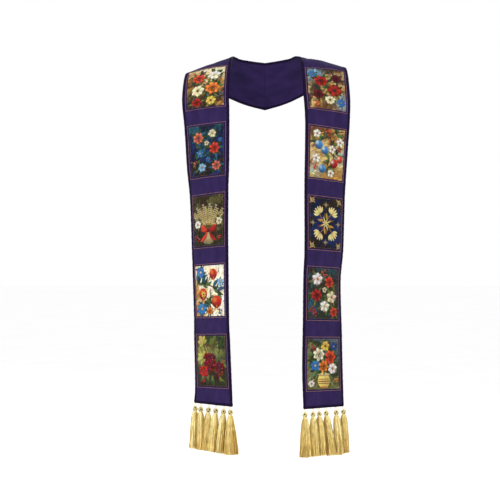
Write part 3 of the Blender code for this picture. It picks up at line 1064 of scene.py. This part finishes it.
# Section of a binding as place from the band's middle and height over its face, in millimetres,
# from the lip on the face round the edge to the lip on the reverse
BINDING_SECTION = np.array([
    (62.5, -0.3),
    (62.5, 0.35),
    (63.5, 0.62),
    (66.2, 0.70),
    (68.8, 0.48),
    (69.8, -0.15),
    (70.1, -1.2),
    (69.8, -2.25),
    (68.8, -2.88),
    (66.2, -3.10),
    (63.5, -3.02),
    (62.5, -2.1),
]) * MM
# The points of that section on its two lips, and how much of their wandering the rest follows
LIPS = np.isin(np.arange(len(BINDING_SECTION)), (0, 1, 2, 9, 10, 11))
FOLLOW = 0.3
# Radius of the hem's corners
CORNER = 0.003
# Length of band pressed flat beside the centre-back seam, the share of its thickness that is
# lost there, and how far its face is drawn in
PRESSED = 0.002
PRESSED_THINNER = 0.25
PRESSED_IN = 0.0005


def add_cloth(band, material):
    """The band's cloth as a closed shell, tucked into its bindings, and its length."""
    edge = BAND_WIDTH / 2 - BINDING_WIDTH - SEAM_GAP
    across = rows_between(-edge, edge, CLOTH_ROW)
    distance = rows_between(BINDING_WIDTH + SEAM_GAP, band.length, CLOTH_ROW)
    loop = np.concatenate([across, across[::-1]])
    wall = np.where(np.arange(len(loop)) < len(across), 0.0, -CLOTH_WALL)
    seam = np.exp(-(((band.length - distance[:, None]) / PRESSED) ** 2))
    lift = wall * (1 - PRESSED_THINNER * seam) - PRESSED_IN * seam
    points, _ = band.place(distance[:, None], loop, lift)
    skin = Skin().add(points, loft(points[None]), grid(loop, distance))
    name = f"cloth_{band.side}"
    made = skin.piece(name, material, "purple_cloth", [f"band_{band.side}"], band.sign < 0)
    return made, distance[-1] - distance[0]


def unevenness(run, side):
    """Small wandering of a folded edge, in metres, from its run."""
    return 0.00022 * (np.sin(run * 410 + side) + 0.6 * np.sin(run * 173 + 2 * side))


def side_tape(band, side):
    """Places along the tape on one edge of the band, and its section's points there."""
    distance = rows_between(BINDING_WIDTH - 0.0006, band.length, BINDING_ROW)
    wander = unevenness(distance, side + band.sign)[:, None]
    across, lift = BINDING_SECTION.T
    outward = np.where(lift > -CLOTH_WALL / 2, 1, -1)
    lift = lift + outward * 0.35 * np.abs(wander)
    across = across + np.where(LIPS, wander, wander * FOLLOW)
    return distance, band.place(distance[:, None], side * across, lift)[0]


def hem_tape(band):
    """Places along the tape on the hem, and its section's points there, rounded at the corners."""
    half = BAND_WIDTH / 2 + 0.0001
    across = rows_between(-half, half, BINDING_ROW)
    corner = np.maximum(np.abs(across) - (half - CORNER), 0.0)
    raised = (CORNER - np.sqrt(np.maximum(CORNER**2 - corner**2, 0.0)))[:, None]
    distance = (BAND_WIDTH / 2 - BINDING_SECTION[:, 0]) * (1 - raised / 0.008) + raised
    distance = distance - np.where(LIPS, unevenness(across, 3)[:, None], 0.0)
    middle = -CLOTH_WALL / 2
    lift = middle + (BINDING_SECTION[:, 1] - middle) * (1.04 - raised / 0.01)
    return across, band.place(distance, across[:, None], lift)[0]


def add_bindings(band, material):
    """Folded tape over both edges of the band and its hem."""
    tapes = (
        ("inner", side_tape(band, -1), band.sign > 0),
        ("outer", side_tape(band, 1), band.sign < 0),
        ("hem", hem_tape(band), band.sign > 0),
    )
    made = []
    for name, (along, points), flip in tapes:
        skin = Skin().add(points, loft(points[None]), grid(np.linspace(0, TAPE_WIDTH, len(LIPS)), along))
        piece, node = (f"{kind}_{name}_{band.side}" for kind in ("edge", "binding"))
        made.append(skin.piece(piece, material, "dark_binding", [node], flip))
    return made


# How a picture's cloth turns down at its edge, as distance in from the edge and height
PICTURE_EDGE = np.array([(0.0, 0.0), (0.15, 0.75)])
PICTURE_LIFT = 1.05


def picture_profile(cells, size):
    """Places from a picture's middle and heights there, with the edges turned down."""
    inside = np.linspace(-size / 2 + 0.5, size / 2 - 0.5, cells + 1)
    inset, rise = PICTURE_EDGE.T
    places = np.concatenate([inset - size / 2, inside, size / 2 - inset[::-1]])
    lift = np.concatenate([rise, np.full(cells + 1, PICTURE_LIFT), rise[::-1]])
    # The cloth is pulled down along its line of running stitches
    stitched = np.exp(-(((size / 2 - np.abs(places) - 2.0) / 0.8) ** 2))
    return places * MM, (lift - 0.3 * stitched) * MM


def picture_middle(number):
    """Distance up the band of the middle of a picture, counted down from the shoulder."""
    return FIRST_PICTURE + PICTURE_PITCH * (PICTURES - number) + PICTURE_HEIGHT / 2


def add_picture(band, number, material):
    """A painted cloth picture with its edges turned down, laid on the band."""
    name = f"{band.side}_{number}"
    rim = (len(PICTURE_EDGE), len(PICTURE_EDGE))
    # Places across the left half run the other way, so there the colours are turned round
    colours = np.pad(painted(name)[:, :: band.sign], (rim, rim, (0, 0)), mode="edge")
    over, over_lift = picture_profile(Painting.WIDTH, PICTURE_WIDTH / MM)
    up, up_lift = picture_profile(Painting.HEIGHT, PICTURE_HEIGHT / MM)
    distance = picture_middle(number) + up
    points, _ = band.place(distance[:, None], over, np.minimum(over_lift, up_lift[:, None]))
    skin = Skin().add(points, lattice(len(up), len(over)), grid(over, distance), colours)
    made = skin.piece(f"painted_{name}", material, "picture_cloth", [f"picture_{name}"], band.sign < 0)


# Stitches, a row for each kind: from one to the next, the share of that which a stitch covers,
# its height over the band's face, radius and slant, in millimetres, and its colour
STITCH_COLUMNS = ("pitch", "share", "lift", "radius", "slant", "colour")
STITCHES = {
    "frame": (2.8, 1.25, 0.2, 0.46, 0.3, "copper"),
    "patch": (3.0, 0.72, 0.8, 0.24, 0.0, "tan_thread"),
    "face": (3.6, 0.72, 0.6, 0.24, 0.0, "plum_thread"),
    "reverse": (3.6, 0.72, -3.0, 0.24, 0.0, "plum_thread"),
    "hem": (3.2, 0.72, 0.6, 0.24, 0.0, "plum_thread"),
    "seam": (3.0, 0.72, 0.1, 0.26, 0.0, "plum_thread"),
}
# Places along a stitch, and its height and thickness there, in radii
STITCH_RUN = np.array((0.0, 0.3, 0.7, 1.0))
STITCH_RISE = np.array((-1.2, 0.5, 0.5, -1.2))
STITCH_THICK = np.array((0.7, 1.05, 1.05, 0.7))
CORNERS = ((-1, -1), (-1, 1), (1, 1), (1, -1), (-1, -1))
# How far outside a picture its frame of stitches runs, and how far inside it its own stitches
FRAME_OUTSET = 0.0044
PATCH_INSET = 0.0020
# How far in from a binding's lip its stitches run, and from the neck's end the seam's
LIP_INSET = 0.0014
SEAM_INSET = 0.0042


def stitch_ends(corners, pitch, share):
    """Both ends of stitches along the straight lines from each corner to the next."""
    rows = []
    for start, end in zip(np.array(corners[:-1]), np.array(corners[1:])):
        count = round(np.linalg.norm(end - start) / pitch)
        steps = np.arange(count)[:, None]
        ends = [start + (end - start) * (steps + (1 + side * share) / 2) / count for side in (-1, 1)]
        rows.append(np.stack(ends, axis=1))
    return np.concatenate(rows)


def sew(skin, band, kind, corners, seed):
    """Lays stitches on the band, each bowed out of the cloth and sunk into it at its ends."""
    stitch = dict(zip(STITCH_COLUMNS, STITCHES[kind]))
    radius = stitch["radius"] * MM
    random = np.random.default_rng(seed)
    ends = stitch_ends(corners, stitch["pitch"] * MM, stitch["share"])
    run = ends[:, 1] - ends[:, 0]
    aside = unit(np.stack([-run[:, 1], run[:, 0]], axis=-1)) * stitch["slant"] * MM
    ends = ends + random.normal(0, 0.00010, ends.shape)
    first, last = ends[:, 0] - aside, ends[:, 1] + aside
    course = first[:, None] + (last - first)[:, None] * STITCH_RUN[:, None]
    lift = stitch["lift"] * MM + radius * STITCH_RISE
    paths, out = band.place(course[..., 0], course[..., 1], lift)
    tone = random.uniform(0.82, 1.16, (len(ends), 1, 1))
    skin.tube(paths, out, radius * STITCH_THICK, 4, linear(stitch["colour"]) * tone)


def add_stitches(band, material):
    """All the sewing of one band: frames, picture edges, bindings and the seam at the neck."""
    frames, patches, tape = Skin(), Skin(), Skin()
    for number in range(1, PICTURES + 1):
        seed = 100 * number + band.sign
        rows = ((frames, "frame", FRAME_OUTSET, seed), (patches, "patch", -PATCH_INSET, seed + 1))
        for skin, kind, out, own in rows:
            half_up, half_over = PICTURE_HEIGHT / 2 + out, PICTURE_WIDTH / 2 + out
            corners = [(picture_middle(number) + v * half_up, u * half_over) for v, u in CORNERS]
            sew(skin, band, kind, corners, own)
    inset = BINDING_WIDTH - LIP_INSET
    half = BAND_WIDTH / 2 - BINDING_WIDTH
    for place in (-1, 1):
        across = place * (BAND_WIDTH / 2 - inset)
        corners = ((0.006, across), (band.length - 0.001, across))
        sew(tape, band, "face", corners, 7 + place)
        sew(tape, band, "reverse", corners, 9 + place)
    for kind, up, seed in (("hem", inset, 13), ("seam", band.length - SEAM_INSET, 15)):
        sew(tape, band, kind, ((up, -half), (up, half)), seed)
    rows = (
        (frames, "frame", "gold_thread"),
        (patches, "picture", "gold_thread"),
        (tape, "binding", "dark_binding"),
    )
    return [skin.piece(f"{name}_stitches_{band.side}", material, slot) for skin, name, slot in rows]


# Tassels, in millimetres, hanging down from the origin before they are placed

HEAD_DROP = 15.5
HEAD_SIZE = 6.4
# Distance between the two cords of the knot, and their radius
KNOT_PAIR = 1.5
KNOT_CORD = 0.82
# How far each knot may be tipped about x and y and turned about z, in radians
KNOT_TURN = np.array((0.22, 0.22, math.pi))
NECK_DROP = 22.0
# Radii of the loop's plies, the dark ball inside the knot, which is painted shade in the gaps
# between its cords, and the cord that binds the neck
LOOP_PLY = 0.58
SHADE_CORE = 5.7
NECK_CORD = 0.5
# Half width of the skirt just below its neck
SHOULDER = 11.0
# How far the ends of loose threads stand out past the solid's locks
LOOSE = 1.8
# How far a thread wanders near its end, and how uneven the ends are
CRINKLE = 0.40
RAGGED = 2.0
THREAD_POINTS = 13
LOCKS = 28
# Threads in a skirt for each millimetre of its mean half width
THREADS_PER_WIDTH = 15.5
# How much a thread's tone follows its lock and itself, how much paler it is painted the farther
# out from the middle of the skirt it hangs, as painted light on the outer threads and painted
# shade on the inner ones, and how much darker it is painted the nearer the next tassel it hangs,
# as painted shade between the tassels
TONE_LOCK, TONE_THREAD, PAINTED_LIGHT_OUTER, PAINTED_SHADE_BESIDE = 0.28, 0.54, 0.32, 0.52
# How much faster than its red the green and blue of a thread fall where its painted glints and
# painted shade make it darker, so that the painted shade is a warm brown
WARM_SHADE = np.array((0.82, 1.0, 1.6))
# Places down a skirt's threads as shares of its drop, how far they are let out there from the
# gathers at the neck, and how much of the flare from shoulder to end they have reached
SKIRT_SHARES = (0.0, 0.03, 0.07, 0.13, 0.24, 0.38, 0.54, 0.70, 0.86, 1.0)
SKIRT_GATHER = (0.42, 0.58, 0.73, 0.86, 0.95, 1.0, 1.0, 1.0, 1.0, 1.0)
SKIRT_FLARE = (0.0, 0.0, 0.0, 0.06, 0.20, 0.36, 0.54, 0.72, 0.88, 1.0)


def circle(turn, radius=1.0, height=0.0):
    """Points by their turn, radius and height about the upright axis."""
    return np.stack(np.broadcast_arrays(radius * np.cos(turn), radius * np.sin(turn), height), axis=-1)


def cord_paths():
    """Two twisted plies down each leg of the loop that holds the knot."""
    shares = np.linspace(0, 1, 16)
    paths = []
    for side in (-1, 1):
        x = side * (0.8 + 1.9 * np.sin(math.pi * shares))
        middle = np.stack([x, 0 * shares, 1.5 - 11.5 * shares], axis=-1)
        paths += [middle + circle(shares * 15 + ply, 0.45) for ply in (0, math.pi)]
    return np.array(paths)


def knot_paths(turns, waves, points, pose):
    """Two cords side by side, wound over and under themselves round a ball."""
    share = 2 * math.pi * np.linspace(0, 1, points)
    rise = np.sin(waves * share)
    far = HEAD_SIZE * np.sqrt(1 - 0.72 * rise**2) + 0.5 * np.cos(2 * waves * share)
    middle = circle(turns * share, far, 0.98 * HEAD_SIZE * rise)
    middle = middle @ np.array(Euler(pose).to_matrix()).T
    out = unit(middle)
    aside = unit(np.cross(np.gradient(middle, axis=0), out)) * KNOT_PAIR / 2
    return np.stack([middle - aside, middle + aside]) - (0.0, 0.0, HEAD_DROP), out


def skirt_paths(length, spread, random):
    """The threads of a skirt, gathered at the neck and hanging in loose locks."""
    count = round(THREADS_PER_WIDTH * (SHOULDER + spread) / 2)
    far_out = np.sqrt((np.arange(LOCKS) + 0.5) / LOCKS)
    centres = circle(2.4 * np.arange(LOCKS), far_out)[:, :2] * 0.92
    own = np.arange(count) % LOCKS
    place = centres[own] + random.normal(0, 0.11, (count, 2))
    far = np.linalg.norm(place, axis=1, keepdims=True)
    place = place * np.minimum(1, 1 / far)
    shares = np.linspace(0, 1, THREAD_POINTS) ** 1.5
    gather, flare = (np.interp(shares, SKIRT_SHARES, column) for column in (SKIRT_GATHER, SKIRT_FLARE))
    width = gather * (SHOULDER + (spread + LOOSE - SHOULDER) * flare)
    over = place[:, None] * width[:, None]
    sway = random.uniform(0, 2 * math.pi, (LOCKS, 2))[own][:, None]
    wave = np.sin(shares[:, None] * random.uniform(3, 6, (count, 1, 1)) + sway)
    over = over + wave * 0.75 * shares[:, None]
    over = over + random.normal(0, 1, over.shape) * ((0.22 + CRINKLE * shares) * gather)[:, None]
    ends = length - np.abs(random.normal(0, RAGGED, count)) - 0.7 * (far[:, 0] > 0.8)
    drop = NECK_DROP + (ends - NECK_DROP)[:, None] * shares
    return np.concatenate([over, -drop[..., None]], axis=-1), own, far[:, 0]


def tassel_skin(length, spread, knot_pose, random, turned, hung):
    """One tassel: its loop, wound knot, bound neck and skirt of threads."""
    skin = Skin()
    names = ("gold_pale", "gold_mid", "gold_deep", "gold_knot_shade")
    pale, mid, deep, knot_shade = (linear(name) for name in names)

    def tube(paths, out, radius, sides, colour, start=0.0):
        skin.tube(paths @ turned.T * MM + hung, out @ turned.T, radius * MM, sides, colour, start)

    tube(cord_paths(), np.array((0.0, 1.0, 0.0)), LOOP_PLY, 6, (pale + mid) / 2)
    # Painted shade: a dark ball inside the knot darkens the gaps between its cords
    rise = np.linspace(-1, 1, 13)
    heart = circle(0.0, 0.0, 5.3 * rise - HEAD_DROP)[None]
    tube(heart, np.array((1.0, 0.0, 0.0)), SHADE_CORE * np.sqrt(1.02 - rise**2), 12, knot_shade)
    knot, out = knot_paths(3, 4, 104, knot_pose)
    tube(knot, out, KNOT_CORD, 6, (0.45 * pale + 0.4 * mid) * random.uniform(0.82, 1.0))
    share = np.linspace(0, 1, 60)
    turn = 2 * math.pi * 5 * share
    neck = circle(turn, 4.1 + 0.5 * share, 1.6 - NECK_DROP - 4.0 * share)[None]
    tube(neck, circle(turn)[None], NECK_CORD, 6, pale)

    threads, own, far = skirt_paths(length, spread, random)
    count, points = threads.shape[:2]
    tone = TONE_LOCK * random.uniform(0, 1, LOCKS)[own] + TONE_THREAD * random.uniform(0, 1, count)
    # Painted light and shade: outer threads are paler, inner ones darker, and threads near the next
    # tassel darker
    beside = np.abs(threads[:, -1, 0] / (spread + LOOSE)) ** 3
    tone = tone + PAINTED_LIGHT_OUTER * far - PAINTED_SHADE_BESIDE * beside - 0.01
    # Painted light: threads are paler near the neck, where the skirt faces the light from above, and
    # darker towards their ends
    tone = np.clip(tone[:, None] + np.linspace(0.20, -0.16, points), 0, 1)[..., None]
    colour = deep + (mid - deep) * np.minimum(2 * tone, 1) + (pale - mid) * np.maximum(2 * tone - 1, 0)
    # Painted glints along the threads, painted shade on those beside the next tassel, and a random tone
    # at each thread's end
    glints = random.normal(0, 0.15, (LOCKS, points))[own] + random.normal(0, 0.11, (count, points))
    glint_and_shade = np.clip(1.13 + glints, 0.66, 1.5) * (1 - 0.30 * np.minimum(beside, 1)[:, None])
    glint_and_shade[:, -2:] = glint_and_shade[:, -2:] * random.uniform(0.75, 1.3, (count, 1))
    colour = colour * glint_and_shade[..., None] ** WARM_SHADE
    out = np.concatenate([threads[..., :2] + 0.01, 0 * threads[..., 2:]], axis=-1)
    radius = random.uniform(0.5, 0.78, (count, 1)) * np.linspace(0.9, 1.05, points)
    tube(threads, out, radius, 4, colour, random.uniform(0, 0.6, (count, 1)))
    return skin


def add_tassels(band, material):
    """Six tassels, each hung just below the hem and swung a little outward."""
    hem_turn = band.sign * float(band.at(np.array(0.0))[3])
    made = []
    rows = table(TASSELS[band.side], TASSEL_COLUMNS)
    for number, (across, lean, length, spread) in enumerate(rows, start=1):
        hung, _ = band.place(np.array(0.0), across, np.array(-CLOTH_WALL / 2))
        turned = Matrix.Rotation(hem_turn, 3, "Z") @ Matrix.Rotation(-band.sign * lean, 3, "Y")
        seed = 10 * number + band.sign
        knot_pose = np.random.default_rng(700 + seed).uniform(-1, 1, 3) * KNOT_TURN
        random = np.random.default_rng(500 + seed)
        drop = np.array((0.0, 0.0, 2 * SEAM_GAP))
        skin = tassel_skin(length, spread, knot_pose, random, np.array(turned), hung - drop)
        name = f"{band.side}_{number}"
        made.append(skin.piece(f"threads_{name}", material, "gold_thread", [f"tassel_{name}"]))
    return made


# The studio

FLOOR = -1.45
FLOOR_REACH = 30.0
# Where each light stands and what it looks at, its size and its power
LIGHTS = {
    "key": ((-1.9, -3.6, 0.9), (0.0, -0.1, -0.5), 1.6, 58.0),
    "fill": ((2.4, -3.4, -0.1), (0.0, -0.1, -0.6), 2.8, 14.0),
    "back": ((2.2, 3.2, 0.9), (0.0, 0.1, -0.3), 1.4, 60.0),
}
CAMERA_PLACE = (-0.0449, -4.0, -0.5623)
CAMERA_LENS = 99.36


def link(name, data):
    made = bpy.data.objects.new(name, data)
    bpy.context.scene.collection.objects.link(made)
    return made


def add_studio():
    """A wide pale floor, soft light from all round, and the camera."""
    mesh = bpy.data.meshes.new("studio_floor")
    corners = [(u * FLOOR_REACH, v * FLOOR_REACH, FLOOR) for v, u in CORNERS[:4]]
    mesh.from_pydata(corners, [], [(0, 1, 2, 3)])
    floor = link("studio_floor", mesh)
    nodes = Nodes("studio_paper")
    noise = nodes.noise(nodes.node("ShaderNodeTexCoord").outputs["Object"], 3.0)
    colour = nodes.ramp(noise, ((0.3, (252, 252, 252)), (0.7, (254, 254, 254))))
    floor.data.materials.append(nodes.finish(colour, (), ((noise, 0.0002),), 0.9))

    world = bpy.data.worlds.new("studio")
    bpy.context.scene.world = world
    world.use_nodes = True
    background = world.node_tree.nodes["Background"].inputs
    background["Color"].default_value = (1.0, 1.0, 1.0, 1.0)
    background["Strength"].default_value = 1.0

    for name, (place, target, size, power) in LIGHTS.items():
        data = bpy.data.lights.new(name, "AREA")
        data.shape = "DISK"
        data.size = size
        data.energy = power
        light = link(name, data)
        light.location = place
        light.rotation_euler = (Vector(target) - Vector(place)).to_track_quat("-Z", "Y").to_euler()

    data = bpy.data.cameras.new("camera")
    data.lens = CAMERA_LENS
    data.sensor_width = 36.0
    camera = link("camera", data)
    camera.location = CAMERA_PLACE
    camera.rotation_euler = (math.pi / 2, 0.0, 0.0)
    bpy.context.scene.camera = camera
    bpy.context.scene.view_settings.view_transform = "Standard"


def main():
    cloth, tape, prints = purple_cloth(), dark_binding(), picture_cloth()
    sewing = thread("sewing_thread", 0.42, 0.03, 0.24)
    rayon = thread("gold_rayon", 0.36, 0.06, 0.44)
    for side in SECTIONS:
        band = Band(side)
        made, length = add_cloth(band, cloth)
        trims = add_bindings(band, tape) + add_stitches(band, sewing) + add_tassels(band, rayon)
        for number in range(1, PICTURES + 1):
            add_picture(band, number, prints)
    add_studio()


main()
